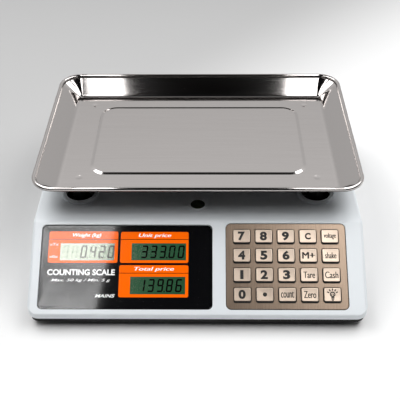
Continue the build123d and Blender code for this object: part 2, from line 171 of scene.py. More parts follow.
def pick(piece, kind, test):
    """Go into edit mode with only the faces, edges or corners that pass the test selected."""
    take(piece)
    bpy.ops.object.mode_set(mode="EDIT")
    bpy.ops.mesh.select_mode(type=kind)
    bpy.ops.mesh.select_all(action="DESELECT")
    bpy.ops.object.mode_set(mode="OBJECT")
    mesh = piece.data
    parts = {"FACE": mesh.polygons, "EDGE": mesh.edges, "VERT": mesh.vertices}[kind]
    for part in parts:
        part.select = bool(test(part))
    bpy.ops.object.mode_set(mode="EDIT")


def done():
    """Leave edit mode."""
    bpy.ops.object.mode_set(mode="OBJECT")


def ends(piece, edge):
    """The two end corners of an edge."""
    corners = piece.data.vertices
    return corners[edge.vertices[0]].co, corners[edge.vertices[1]].co


def apply_all(piece):
    """Apply every modifier of a piece, in order."""
    take(piece)
    for modifier in list(piece.modifiers):
        bpy.ops.object.modifier_apply(modifier=modifier.name)


def twin(piece, name):
    """A copy with its own mesh."""
    other = piece.copy()
    other.data = piece.data.copy()
    other.name = name
    other.data.name = name
    bpy.context.scene.collection.objects.link(other)
    return other


def joined(pieces, name):
    """Several pieces made one, under the given name."""
    take(*pieces)
    if len(pieces) > 1:
        bpy.ops.object.join()
    whole = bpy.context.object
    whole.name = name
    whole.data.name = name
    return whole


def seat(piece, face, u=0.0, v=0.0, n=0.0):
    """Lay a flat-made piece on a face of the scale and fix its place in its mesh."""
    take(piece)
    piece.matrix_world = face @ Matrix.Translation(Vector((u, -v, n)) * MM) @ piece.matrix_world
    bpy.ops.object.transform_apply(location=True, rotation=True, scale=True)
    return piece


def hand_over(piece, material, body="root", replaces=(), angle=EDGE_ANGLE):
    """Shade the piece, give it its material and fasten it to its body."""
    take(piece)
    bpy.ops.object.shade_smooth_by_angle(angle=math.radians(angle))
    piece.data.materials.clear()
    piece.data.materials.append(material)
    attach(piece, body)
    if replaces:
        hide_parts(*replaces)
    return piece


def rounded_sheet(name, width, depth, radius, z=0.0, steps=6, at=(0.0, 0.0)):
    """A flat sheet with rounded corners, in millimetres."""
    settle()
    bpy.ops.mesh.primitive_plane_add(size=MM, location=(at[0] * MM, at[1] * MM, z * MM))
    sheet = bpy.context.object
    sheet.name = name
    sheet.scale = (width, depth, 1)
    bpy.ops.object.transform_apply(location=True, rotation=True, scale=True)
    if radius:
        bpy.ops.object.mode_set(mode="EDIT")
        bpy.ops.mesh.select_all(action="SELECT")
        bpy.ops.mesh.bevel(offset=radius * MM, segments=steps, affect="VERTICES")
        done()
    return sheet


def thicken(sheet, height):
    """Pull a flat sheet up into a closed plate."""
    take(sheet)
    bpy.ops.object.mode_set(mode="EDIT")
    bpy.ops.mesh.select_all(action="SELECT")
    bpy.ops.mesh.extrude_region_move(TRANSFORM_OT_translate={"value": (0, 0, height * MM)})
    bpy.ops.mesh.select_all(action="SELECT")
    bpy.ops.mesh.normals_make_consistent(inside=False)
    done()
    return sheet


def cut(piece, cutters):
    """Cut openings through a plate and clear the cutters away."""
    for cutter in cutters:
        hole = piece.modifiers.new("opening", "BOOLEAN")
        hole.operation = "DIFFERENCE"
        hole.solver = "EXACT"
        hole.object = cutter
        apply_all(piece)
        bpy.data.objects.remove(cutter)
    return piece


def printed(name, words, size, body, material, face, u, v, n, thick=0.05, slant=0.0, bold=0.0, strike=0.0):
    """Lettering as thin raised ink, fitted to a width and height in millimetres."""
    settle()
    bpy.ops.object.text_add(location=(0, 0, 0))
    text = bpy.context.object
    text.data.body = words
    text.data.size = 1.0
    text.data.resolution_u = 4
    text.data.shear = slant
    text.data.offset = bold
    bpy.ops.object.convert(target="MESH")
    ink = bpy.context.object
    ink.name = name
    low = [min(corner[i] for corner in ink.bound_box) for i in range(2)]
    high = [max(corner[i] for corner in ink.bound_box) for i in range(2)]
    wide = size[0] * MM / (high[0] - low[0])
    tall = size[1] * MM / (high[1] - low[1])
    ink.location = (-(low[0] + high[0]) / 2 * wide, -(low[1] + high[1]) / 2 * tall, 0)
    ink.scale = (wide, tall, 1)
    bpy.ops.object.transform_apply(location=True, rotation=True, scale=True)
    if strike:
        again = twin(ink, name)
        again.data.transform(Matrix.Translation((strike * MM, 0, 0)))
        ink = joined([again, ink], name)
    bpy.ops.object.mode_set(mode="EDIT")
    bpy.ops.mesh.select_all(action="SELECT")
    bpy.ops.mesh.remove_doubles(threshold=0.000001)
    bpy.ops.mesh.extrude_region_move(TRANSFORM_OT_translate={"value": (0, 0, thick * MM)})
    bpy.ops.mesh.select_all(action="SELECT")
    bpy.ops.mesh.normals_make_consistent(inside=False)
    done()
    seat(ink, face, u, v, n)
    return hand_over(ink, material, body)


# ---- finishes ----
def shader_of(name):
    """A new material with its node tree and its main shader."""
    material = bpy.data.materials.new(name)
    material.use_nodes = True
    tree = material.node_tree
    return material, tree, tree.nodes["Principled BSDF"]


def tone(colour, factor):
    """A colour made lighter or darker, with its alpha."""
    return tuple(min(1.0, part * factor) for part in colour) + (1.0,)


def finish(name, colour, rough, metal=0.0, grain=900.0, depth=0.08, spread=0.05, tint=0.05,
           stretch=(1, 1, 1), patch=14.0, ior=1.5, coat=0.0, glow=0.0):
    """A moulded, cast or brushed surface: cloudy colour, uneven sheen and a fine grain."""
    material, tree, shader = shader_of(name)
    nodes, links = tree.nodes, tree.links
    place = nodes.new("ShaderNodeTexCoord")
    aim = nodes.new("ShaderNodeMapping")
    aim.inputs["Scale"].default_value = stretch
    links.new(place.outputs["Object"], aim.inputs["Vector"])
    fine = nodes.new("ShaderNodeTexNoise")
    fine.inputs["Scale"].default_value = grain
    fine.inputs["Detail"].default_value = 3.0
    links.new(aim.outputs["Vector"], fine.inputs["Vector"])
    cloud = nodes.new("ShaderNodeTexNoise")
    cloud.inputs["Scale"].default_value = patch
    cloud.inputs["Detail"].default_value = 2.0
    links.new(place.outputs["Object"], cloud.inputs["Vector"])
    sheen = nodes.new("ShaderNodeMapRange")
    sheen.inputs["To Min"].default_value = max(0.02, rough - spread)
    sheen.inputs["To Max"].default_value = rough + spread
    links.new(fine.outputs["Fac"], sheen.inputs["Value"])
    links.new(sheen.outputs["Result"], shader.inputs["Roughness"])
    blend = nodes.new("ShaderNodeMath")
    blend.operation = "MULTIPLY_ADD"
    blend.inputs[1].default_value = 0.5
    links.new(fine.outputs["Fac"], blend.inputs[0])
    half = nodes.new("ShaderNodeMath")
    half.operation = "MULTIPLY"
    half.inputs[1].default_value = 0.5
    links.new(cloud.outputs["Fac"], half.inputs[0])
    links.new(half.outputs[0], blend.inputs[2])
    shade = nodes.new("ShaderNodeMix")
    shade.data_type = "RGBA"
    shade.inputs[6].default_value = tone(colour, 1 - tint)
    shade.inputs[7].default_value = tone(colour, 1 + tint)
    links.new(blend.outputs[0], shade.inputs[0])
    links.new(shade.outputs[2], shader.inputs["Base Color"])
    if depth:
        relief = nodes.new("ShaderNodeBump")
        relief.inputs["Strength"].default_value = depth
        relief.inputs["Distance"].default_value = 0.0002
        links.new(fine.outputs["Fac"], relief.inputs["Height"])
        links.new(relief.outputs["Normal"], shader.inputs["Normal"])
    shader.inputs["Metallic"].default_value = metal
    shader.inputs["IOR"].default_value = ior
    shader.inputs["Coat Weight"].default_value = coat
    # The glow makes the colour give off light: painted light, for prints brighter than the lamps make them.
    if glow:
        links.new(shade.outputs[2], shader.inputs["Emission Color"])
        shader.inputs["Emission Strength"].default_value = glow
    return material


def polished_steel():
    """Mirror-like pressed stainless sheet: slight waves, drawn streaks and four weld marks."""
    material, tree, shader = shader_of("polished_steel")
    nodes, links = tree.nodes, tree.links
    place = nodes.new("ShaderNodeTexCoord")
    wave = nodes.new("ShaderNodeTexNoise")
    wave.inputs["Scale"].default_value = 9.0
    wave.inputs["Detail"].default_value = 1.0
    links.new(place.outputs["Object"], wave.inputs["Vector"])
    draw = nodes.new("ShaderNodeMapping")
    draw.inputs["Scale"].default_value = (12, 900, 900)
    links.new(place.outputs["Object"], draw.inputs["Vector"])
    streak = nodes.new("ShaderNodeTexNoise")
    streak.inputs["Scale"].default_value = 1.0
    streak.inputs["Detail"].default_value = 4.0
    links.new(draw.outputs["Vector"], streak.inputs["Vector"])
    sheen = nodes.new("ShaderNodeMapRange")
    sheen.inputs["To Min"].default_value = 0.05
    sheen.inputs["To Max"].default_value = 0.1
    links.new(streak.outputs["Fac"], sheen.inputs["Value"])
    links.new(sheen.outputs["Result"], shader.inputs["Roughness"])
    shade = nodes.new("ShaderNodeMix")
    shade.data_type = "RGBA"
    shade.inputs[6].default_value = (0.56, 0.53, 0.515, 1)
    shade.inputs[7].default_value = (0.62, 0.59, 0.575, 1)
    links.new(streak.outputs["Fac"], shade.inputs[0])
    links.new(shade.outputs[2], shader.inputs["Base Color"])
    # Distance from the nearest of the four spots where the studs are welded underneath.
    fold = nodes.new("ShaderNodeVectorMath")
    fold.operation = "SUBTRACT"
    fold.inputs[1].default_value = (0, PAN_MID_Y, 0)
    links.new(place.outputs["Object"], fold.inputs[0])
    mirrored = nodes.new("ShaderNodeVectorMath")
    mirrored.operation = "ABSOLUTE"
    links.new(fold.outputs[0], mirrored.inputs[0])
    reach = nodes.new("ShaderNodeVectorMath")
    reach.operation = "DISTANCE"
    reach.inputs[1].default_value = (POST_AWAY[0] * MM, POST_AWAY[1] * MM, PAN_FLOOR_Z * MM)
    links.new(mirrored.outputs[0], reach.inputs[0])
    mark = nodes.new("ShaderNodeMapRange")
    mark.interpolation_type = "SMOOTHSTEP"
    mark.inputs["From Min"].default_value = 0.001
    mark.inputs["From Max"].default_value = 0.0045
    mark.inputs["To Min"].default_value = -1.0
    mark.inputs["To Max"].default_value = 0.0
    links.new(reach.outputs["Value"], mark.inputs["Value"])
    waves = nodes.new("ShaderNodeBump")
    waves.inputs["Strength"].default_value = 0.12
    waves.inputs["Distance"].default_value = 0.0012
    links.new(wave.outputs["Fac"], waves.inputs["Height"])
    spots = nodes.new("ShaderNodeBump")
    spots.inputs["Strength"].default_value = 0.5
    spots.inputs["Distance"].default_value = 0.0005
    links.new(mark.outputs["Result"], spots.inputs["Height"])
    links.new(waves.outputs["Normal"], spots.inputs["Normal"])
    links.new(spots.outputs["Normal"], shader.inputs["Normal"])
    shader.inputs["Metallic"].default_value = 1.0
    return material


def clear_sheet(name, colour, alpha, rough=0.04):
    """Clear acrylic or a faint clear ink."""
    material, _, shader = shader_of(name)
    shader.inputs["Base Color"].default_value = (*colour, 1)
    shader.inputs["Roughness"].default_value = rough
    shader.inputs["Alpha"].default_value = alpha
    return material


def display_glass(name, glow):
    """A reflective liquid crystal cell over a faint green back light."""
    material, tree, shader = shader_of(name)
    nodes, links = tree.nodes, tree.links
    place = nodes.new("ShaderNodeTexCoord")
    fine = nodes.new("ShaderNodeTexNoise")
    fine.inputs["Scale"].default_value = 60.0
    links.new(place.outputs["Object"], fine.inputs["Vector"])
    shade = nodes.new("ShaderNodeMix")
    shade.data_type = "RGBA"
    shade.inputs[6].default_value = tone(glow, 0.85)
    shade.inputs[7].default_value = tone(glow, 1.15)
    links.new(fine.outputs["Fac"], shade.inputs[0])
    links.new(shade.outputs[2], shader.inputs["Emission Color"])
    shader.inputs["Emission Strength"].default_value = 1.0
    shader.inputs["Base Color"].default_value = (0.26, 0.262, 0.235, 1)
    shader.inputs["Metallic"].default_value = 1.0
    shader.inputs["Roughness"].default_value = 0.12
    return material


def brushed(name, dark, light, rough):
    """Brushed metal, its hair lines running down the slope."""
    material, tree, shader = shader_of(name)
    nodes, links = tree.nodes, tree.links
    place = nodes.new("ShaderNodeTexCoord")
    hair = nodes.new("ShaderNodeMapping")
    hair.inputs["Scale"].default_value = (2600, 40, 40)
    links.new(place.outputs["Object"], hair.inputs["Vector"])
    lines = nodes.new("ShaderNodeTexNoise")
    lines.inputs["Scale"].default_value = 1.0
    lines.inputs["Detail"].default_value = 3.0
    links.new(hair.outputs["Vector"], lines.inputs["Vector"])
    shade = nodes.new("ShaderNodeMix")
    shade.data_type = "RGBA"
    shade.inputs[6].default_value = (*dark, 1)
    shade.inputs[7].default_value = (*light, 1)
    links.new(lines.outputs["Fac"], shade.inputs[0])
    links.new(shade.outputs[2], shader.inputs["Base Color"])
    sheen = nodes.new("ShaderNodeMapRange")
    sheen.inputs["To Min"].default_value = rough - 0.07
    sheen.inputs["To Max"].default_value = rough + 0.07
    links.new(lines.outputs["Fac"], sheen.inputs["Value"])
    links.new(sheen.outputs["Result"], shader.inputs["Roughness"])
    relief = nodes.new("ShaderNodeBump")
    relief.inputs["Strength"].default_value = 0.12
    relief.inputs["Distance"].default_value = 0.0002
    links.new(lines.outputs["Fac"], relief.inputs["Height"])
    links.new(relief.outputs["Normal"], shader.inputs["Normal"])
    shader.inputs["Metallic"].default_value = 1.0
    return material


# ---- the studio ----
def studio():
    """Pale floor, three overhead soft boxes to each side and a dim surround."""
    settle()
    bpy.ops.mesh.primitive_plane_add(size=12, location=(0, 1.5, 0))
    floor = bpy.context.object
    floor.name = "studio_floor"
    bpy.ops.object.transform_apply(location=True, rotation=True, scale=True)
    floor.data.materials.append(floor_paper_painted_falloff())
    for name, x, y, width, length, skew, drop in SOFT_BOXES:
        for side, hand in ((-1, "left"), (1, "right")):
            bpy.ops.object.light_add(
                type="AREA",
                location=(side * x, y, BOX_Z - drop),
                rotation=(0, 0, side * math.radians(skew)),
            )
            box = bpy.context.object
            box.name = "softbox_%s_%s" % (name, hand)
            box.data.shape = "RECTANGLE"
            box.data.size = width
            box.data.size_y = length
            box.data.energy = BOX_GLOW * math.pi * width * length
    surround()
    bpy.context.scene.view_settings.view_transform = "Standard"


def floor_paper_painted_falloff():
    """Pale backing paper with a painted light falloff: its colour is greyer towards the back left, where
    less light falls.
    """
    material, tree, shader = shader_of("floor_paper_painted_falloff")
    nodes, links = tree.nodes, tree.links
    place = nodes.new("ShaderNodeTexCoord")
    lean = nodes.new("ShaderNodeVectorMath")
    lean.operation = "DOT_PRODUCT"
    lean.inputs[1].default_value = (1.2, -1.0, 0)
    links.new(place.outputs["Object"], lean.inputs[0])
    fade = nodes.new("ShaderNodeMapRange")
    fade.interpolation_type = "SMOOTHSTEP"
    fade.inputs["From Min"].default_value = -0.45
    fade.inputs["From Max"].default_value = 0.05
    links.new(lean.outputs["Value"], fade.inputs["Value"])
    shade = nodes.new("ShaderNodeMix")
    shade.data_type = "RGBA"
    shade.inputs[6].default_value = (0.5, 0.5, 0.5, 1)
    shade.inputs[7].default_value = (0.9, 0.9, 0.9, 1)
    links.new(fade.outputs["Result"], shade.inputs[0])
    links.new(shade.outputs[2], shader.inputs["Base Color"])
    shader.inputs["Roughness"].default_value = 0.85
    return material


def surround():
    """A pale backdrop behind, a dark ceiling between the soft boxes and a dark room in front."""
    world = bpy.data.worlds.new("studio_surround")
    bpy.context.scene.world = world
    world.use_nodes = True
    tree = world.node_tree
    tree.nodes.clear()
    out = tree.nodes.new("ShaderNodeOutputWorld")
    glow = tree.nodes.new("ShaderNodeBackground")
    place = tree.nodes.new("ShaderNodeTexCoord")
    split = tree.nodes.new("ShaderNodeSeparateXYZ")
    by_height = tree.nodes.new("ShaderNodeValToRGB")
    by_depth = tree.nodes.new("ShaderNodeMapRange")
    by_depth.inputs["From Min"].default_value = -0.3
    by_depth.inputs["From Max"].default_value = 0.3
    by_depth.inputs["To Min"].default_value = 0.05
    ramp = by_height.color_ramp
    ramp.elements[0].position = 0.0
    ramp.elements[0].color = (0.5, 0.5, 0.5, 1)
    ramp.elements[1].position = 1.0
    ramp.elements[1].color = (0.01, 0.01, 0.01, 1)
    for height, level in ((0.45, 0.6), (0.74, 0.86), (0.84, 0.03)):
        ramp.elements.new(height).color = (level, level, level, 1)
    dim = tree.nodes.new("ShaderNodeMix")
    dim.data_type = "RGBA"
    dim.blend_type = "MULTIPLY"
    dim.inputs[0].default_value = 1.0
    tree.links.new(place.outputs["Generated"], split.inputs[0])
    tree.links.new(split.outputs["Z"], by_height.inputs[0])
    tree.links.new(split.outputs["Y"], by_depth.inputs[0])
    tree.links.new(by_height.outputs[0], dim.inputs[6])
    tree.links.new(by_depth.outputs[0], dim.inputs[7])
    tree.links.new(dim.outputs[2], glow.inputs[0])
    tree.links.new(glow.outputs[0], out.inputs[0])


def camera():
    """A long lens in front of the keypad, looking down on the tray."""
    lens = bpy.data.cameras.new("camera")
    lens.lens = 66.68
    lens.sensor_width = 36.0
    eye = bpy.data.objects.new("camera", lens)
    bpy.context.scene.collection.objects.link(eye)
    heading = math.radians(-0.951)
    dip = math.radians(39.29)
    roll = math.radians(-0.544)
    ahead = Vector((math.sin(heading) * math.cos(dip), math.cos(heading) * math.cos(dip), -math.sin(dip)))
    right = Vector((math.cos(heading), -math.sin(heading), 0))
    up = right.cross(ahead)
    across = math.cos(roll) * right + math.sin(roll) * up
    upright = -math.sin(roll) * right + math.cos(roll) * up
    turn = Matrix((across, upright, -ahead)).transposed().to_4x4()
    eye.matrix_world = Matrix.Translation((0.01238, -0.660, 0.5714)) @ turn
    bpy.context.scene.camera = eye


# ---- CAD pieces that keep their shape ----
def dress(name, width):
    """Fine rounded edges and even shading on a CAD piece, without touching its own corners."""
    node = NODES[name]
    mesh = node.data
    mesh.polygons.foreach_set("use_smooth", [True] * len(mesh.polygons))
    weld = node.modifiers.new("close_seams", "WELD")
    weld.merge_threshold = 0.00001
    flat = node.modifiers.new("flat_faces", "DECIMATE")
    flat.decimate_type = "DISSOLVE"
    flat.angle_limit = math.radians(0.5)
    edge = node.modifiers.new("fine_edges", "BEVEL")
    edge.width = width * MM
    edge.segments = 2
    edge.limit_method = "ANGLE"
    edge.angle_limit = math.radians(EDGE_ANGLE)
    edge.use_clamp_overlap = False
    edge.harden_normals = True
    node.modifiers.new("even_shading", "WEIGHTED_NORMAL")


def colour_node(name, material):
    """Give a CAD piece its one material."""
    node = NODES[name]
    node.data.materials.clear()
    node.data.materials.append(material)


# ---- the pan ----
def weighing_pan(steel, dull_steel_and_painted_shade):
    """A pressed steel pan: rolled rim, flared walls with creased corners, raised floor panel."""
    rim_w = PAN_W / MM - 2 * BEAD_R
    rim_d = PAN_D / MM - 2 * BEAD_R
    rim_z = PAN_HIGH[2] / MM - BEAD_R
    middle = (0.0, PAN_MID_Y / MM)
    corner = RIM_CORNER - BEAD_R
    steps = 12
    outlines = [
        (rim_w, rim_d, corner, rim_z - 1.7),
        (rim_w - 2 * RIM_FLAT, rim_d - 2 * RIM_FLAT, corner - RIM_FLAT, rim_z - 1.9),
        (FLOOR_SIZE[0], FLOOR_SIZE[1], 2.5, PAN_FLOOR_Z),
        (*(side + 2 * PANEL_SLOPE for side in PANEL_SIZE[:2]), PANEL_SIZE[2] + PANEL_SLOPE, PAN_FLOOR_Z),
        (*PANEL_SIZE, PAN_FLOOR_Z + PANEL_RISE),
    ]
    loops = []
    for index, (width, depth, radius, z) in enumerate(outlines):
        loop = rounded_sheet("pan_outline", width, depth, radius, z, steps, middle)
        if index < len(outlines) - 1:
            pick(loop, "FACE", lambda face: True)
            bpy.ops.mesh.delete(type="ONLY_FACE")
            done()
        loops.append(loop)
    pan = joined(loops, "weighing_pan")

    def ring(edge, outline):
        """Whether both ends of an edge lie on an outline."""
        width, depth, radius, z = outline
        for corner_at in ends(pan, edge):
            x = abs(corner_at.x) / MM
            y = abs(corner_at.y - PAN_MID_Y) / MM
            if abs(corner_at.z / MM - z) > 0.01 or x > width / 2 + 0.01 or y > depth / 2 + 0.01:
                return False
            if x < width / 2 - radius - 0.01 and y < depth / 2 - radius - 0.01:
                return False
            if width / 2 - x > radius + 0.01 and depth / 2 - y > 0.01:
                return False
            if depth / 2 - y > radius + 0.01 and width / 2 - x > 0.01:
                return False
        return True

    for outer, inner in zip(outlines, outlines[1:]):
        pick(pan, "EDGE", lambda edge: ring(edge, outer) or ring(edge, inner))
        bpy.ops.mesh.bridge_edge_loops()
        done()
    folds = ((outlines[2], FLOOR_FOLD, 5), (outlines[3], 0.6, 2), (outlines[4], 0.6, 2))
    for outline, offset, segments in folds:
        pick(pan, "EDGE", lambda edge: ring(edge, outline))
        bpy.ops.mesh.bevel(offset=offset * MM, segments=segments, affect="EDGES")
        done()
    pick(pan, "FACE", lambda face: True)
    bpy.ops.mesh.normals_make_consistent(inside=False)
    done()
    panel = max(pan.data.polygons, key=lambda face: face.area)
    if panel.normal.z < 0:
        pick(pan, "FACE", lambda face: True)
        bpy.ops.mesh.flip_normals()
        done()
    sheet = pan.modifiers.new("sheet", "SOLIDIFY")
    sheet.thickness = PAN_SHEET * MM
    sheet.offset = -1
    apply_all(pan)
    bead = rounded_sheet("pan_bead", rim_w, rim_d, corner, rim_z, 16, middle)
    pick(bead, "FACE", lambda face: True)
    bpy.ops.mesh.delete(type="ONLY_FACE")
    done()
    take(bead)
    bpy.ops.object.convert(target="CURVE")
    bead = bpy.context.object
    bead.data.bevel_depth = BEAD_R * MM
    bead.data.bevel_resolution = 6
    bpy.ops.object.convert(target="MESH")
    bead = bpy.context.object
    pick(bead, "FACE", lambda face: True)
    bpy.ops.mesh.normals_make_consistent(inside=False)
    done()
    pan = joined([bead, pan], "weighing_pan")
    take(pan)
    bpy.ops.object.shade_smooth_by_angle(angle=math.radians(40))
    pan.modifiers.new("even_shading", "WEIGHTED_NORMAL").keep_sharp = True
    apply_all(pan)
    pan.data.materials.append(steel)
    pan.data.materials.append(dull_steel_and_painted_shade)
    # Faces turned down below the rim, the underside and the lower half of the bead, get the darker dull
    # steel: partly an unpolished underside, partly painted shade.
    for face in pan.data.polygons:
        face.material_index = int(face.normal.z < -0.1 and face.center.z < rim_z * MM)
    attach(pan, "tray")
    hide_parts("weighing_tray")


# ---- displays ----
STROKES = {
    "top": (0.0, 1.0, 0),
    "middle": (0.0, 0.0, 0),
    "bottom": (0.0, -1.0, 0),
    "upper_left": (-1.0, 0.5, 1),
    "upper_right": (1.0, 0.5, 1),
    "lower_left": (-1.0, -0.5, 1),
    "lower_right": (1.0, -0.5, 1),
}
LIT = {
    "0": "top bottom upper_left upper_right lower_left lower_right",
    "1": "upper_right lower_right",
    "2": "top middle bottom upper_right lower_left",
    "3": "top middle bottom upper_right lower_right",
    "4": "middle upper_left upper_right lower_right",
    "6": "top middle bottom upper_left lower_left lower_right",
    "8": "top middle bottom upper_left upper_right lower_left lower_right",
    "9": "top middle bottom upper_left upper_right lower_right",
}


def stroke(name, length, thick):
    """One pointed bar of a seven-bar digit, lying along X."""
    settle()
    bpy.ops.mesh.primitive_circle_add(vertices=6, radius=thick / math.sqrt(3) * MM, fill_type="NGON")
    bar = bpy.context.object
    bar.name = name
    pick(bar, "VERT", lambda corner: True)
    bpy.ops.transform.rotate(value=math.radians(90), orient_axis="Z", center_override=(0, 0, 0))
    done()
    half = (length / 2 - thick / math.sqrt(3)) * MM
    for side in (-1, 1):
        pick(bar, "VERT", lambda corner: corner.co.x * side > 0.00001)
        bpy.ops.transform.translate(value=(side * half, 0, 0))
        done()
    return thicken(bar, 0.04)


def reading(name, words, face, u_right, v, n, digit, pitch, count, ink, ghost):
    """A row of slanted seven-bar digits, its dark bars and its faint idle ones."""
    wide, tall, thick = digit
    across = stroke("bar_across", wide - thick * 0.55, thick)
    upward = stroke("bar_upward", tall / 2 - thick * 0.5, thick)
    dark, idle = [], []
    symbols = [c for c in words if c != "."]
    for place in range(count):
        u = u_right - wide / 2 - (count - 1 - place) * pitch
        at = place - (count - len(symbols))
        lit = LIT[symbols[at]].split() if at >= 0 else []
        for bar, (x, y, upright) in STROKES.items():
            copy = twin(upward if upright else across, "bar")
            turn = Matrix.Rotation(math.radians(90), 4, "Z") if upright else Matrix.Identity(4)
            centre = Vector((x * (wide - thick) / 2, y * (tall - thick) / 2, 0)) * MM
            copy.data.transform(Matrix.Translation(centre) @ turn)
            lean = Matrix.Identity(4)
            lean[0][1] = 0.12
            copy.data.transform(Matrix.Translation((u * MM, 0, 0)) @ lean)
            (dark if bar in lit else idle).append(copy)
    if "." in words:
        after = words.index(".") - len(symbols)
        u = u_right - wide / 2 + after * pitch + pitch / 2 - 0.6
        point = rounded_sheet("point", 1.5, 1.5, 0.5, 0.0, 3, (u, -tall / 2 + 0.7))
        dark.append(thicken(point, 0.04))
    for source in (across, upward):
        bpy.data.objects.remove(source)
    shown = joined(dark, name + "_digits")
    seat(shown, face, 0, v, n)
    hand_over(shown, ink)
    if idle:
        unlit = joined(idle, name + "_idle_bars")
        seat(unlit, face, 0, v, n)
        hand_over(unlit, ghost)


def title_block(name, box, divide, opening, ink, face, n):
    """A printed block with a title band, a thin gap and a window for the display."""
    left, top, right, bottom = box
    width, depth = right - left, bottom - top
    block = thicken(rounded_sheet(name, width, depth, 1.8, 0.0, 5), 0.08)
    u, v = (left + right) / 2, (top + bottom) / 2
    gap = thicken(rounded_sheet("gap", width + 4, 0.65, 0, -1.0, at=(0, v - divide)), 2)
    lcd_u, lcd_v, lcd_w, lcd_h = opening
    window = thicken(rounded_sheet("window", lcd_w, lcd_h, 0, -1.0, at=(lcd_u - u, v - lcd_v)), 2)
    cut(block, [gap, window])
    seat(block, face, u, v, n)
    return hand_over(block, ink)


def front_window(inks):
    """Printed film, blocks, lettering and the three front displays."""
    orange, white, dark, ghost = inks
    n = -PANE_T
    displays = (
        ("weight", (-152.0, 10.9, -81.1, 43.8), 19.2, (-112.2, 32.3), "0.420", -84.6, "Weight (kg)", 29.0),
        ("unit_price", (-78.4, 11.3, -9.0, 43.8), 19.3, (-39.2, 32.2), "333.00", -13.2, "Unit price", 33.0),
        ("total", (-78.9, 46.2, -8.9, 79.0), 54.4, (-39.7, 67.0), "139.86", -15.2, "Total price", 40.0),
    )
    for name, box, divide, (u, v), words, right, title, wide in displays:
        opening = (u, v, LCD_SIZE[0] - 0.4, LCD_SIZE[1] - 0.4)
        title_block("block_" + name, box, divide, opening, orange, FRONT, n)
        reading(name, words, FRONT, right, v, n - FILM_T + 0.01, (6.5, 13.4, 1.75), 9.3, 6, dark, ghost)
        middle = (box[0] + box[2]) / 2 + (3.0 if name == "weight" else 0.0)
        band = (box[1] + divide) / 2 + 0.2
        printed("title_" + name, title, (wide, 4.9), "root", white, FRONT, middle, band, n + 0.07,
                slant=0.25, strike=0.5)
    for name, mark, v in (("mark_tare", "»T«", 24.6), ("mark_zero", "»0«", 37.4)):
        printed(name, mark, (8.6, 2.6), "root", white, FRONT, -146.4, v, n + 0.07, bold=0.01)
    printed("name_line", "COUNTING SCALE", (68.6, 6.2), "root", white, FRONT, -117.5, 53.6, n, bold=0.03)
    printed("range_line", "Max. 50 kg / Min. 5 g", (59.5, 3.6), "root", white, FRONT, -117.3, 62.0, n,
            slant=0.3, bold=0.005)
    printed("mains_word", "MAINS", (20.0, 3.4), "root", white, FRONT, -92.4, 77.6, n, slant=0.3, bold=0.02)
    settle()
    bpy.ops.mesh.primitive_circle_add(vertices=20, radius=0.9 * MM, fill_type="NGON")
    lamp = bpy.context.object
    lamp.name = "mains_lamp"
    thicken(lamp, 0.06)
    seat(lamp, FRONT, -77.0, 83.2, n)
    hand_over(lamp, dark)


def customer_window(inks, film_finish):
    """The rear film and the customer display."""
    orange, white, dark, ghost = inks
    n = -PANE_T
    film = thicken(rounded_sheet("rear_film", 173.4, 35.4, 4.0, 0.0, 6), 0.06)
    holes = [
        thicken(rounded_sheet("window", *REAR_LCD_SIZE, 0, -1.0, at=(u, -REAR_LCD_DROP)), 2)
        for u in REAR_LCD_U
    ]
    cut(film, holes)
    seat(film, REAR, 0, -REAR_V, n + 0.01)
    hand_over(film, film_finish)
    displays = (("rear_weight", "0.420", "Weight"), ("rear_unit", "333.00", "Unit price"),
                ("rear_total", "139.86", "Total price"))
    v = -REAR_V + REAR_LCD_DROP
    for u, (name, words, title) in zip(REAR_LCD_U, displays):
        box = (u - 26.5, v - 19.4, u + 26.5, v + 11.4)
        title_block("block_" + name, box, v - 11.4, (u, v, *REAR_LCD_SIZE), orange, REAR, n + 0.07)
        reading(name, words, REAR, u + 21.4, v, n + 0.01, (5.2, 11.0, 1.25), 7.5, 6, dark, ghost)
        printed("title_" + name, title, (24.0, 3.6), "root", white, REAR, u, v - 15.2, n + 0.15,
                slant=0.35, bold=0.01)


# ---- keys ----
def key_cap():
    """A metal key cap: rounded outline, broad soft edge and a slightly dished top."""
    cap = thicken(rounded_sheet("key_cap", KEY_W, KEY_H, KEY_R, KEY_FOOT, 6), KEY_TOP - KEY_FOOT)
    pick(cap, "FACE", lambda face: face.normal.z > 0.9)
    bpy.ops.mesh.bevel(offset=KEY_EDGE * MM, segments=6, profile=0.6, affect="EDGES")
    done()
    best = max(face.area for face in cap.data.polygons if face.normal.z > 0.99)
    pick(cap, "FACE", lambda face: face.normal.z > 0.99 and face.area > best * 0.99)
    bpy.ops.mesh.inset(thickness=0.5 * MM, depth=-0.04 * MM)
    done()
    return cap


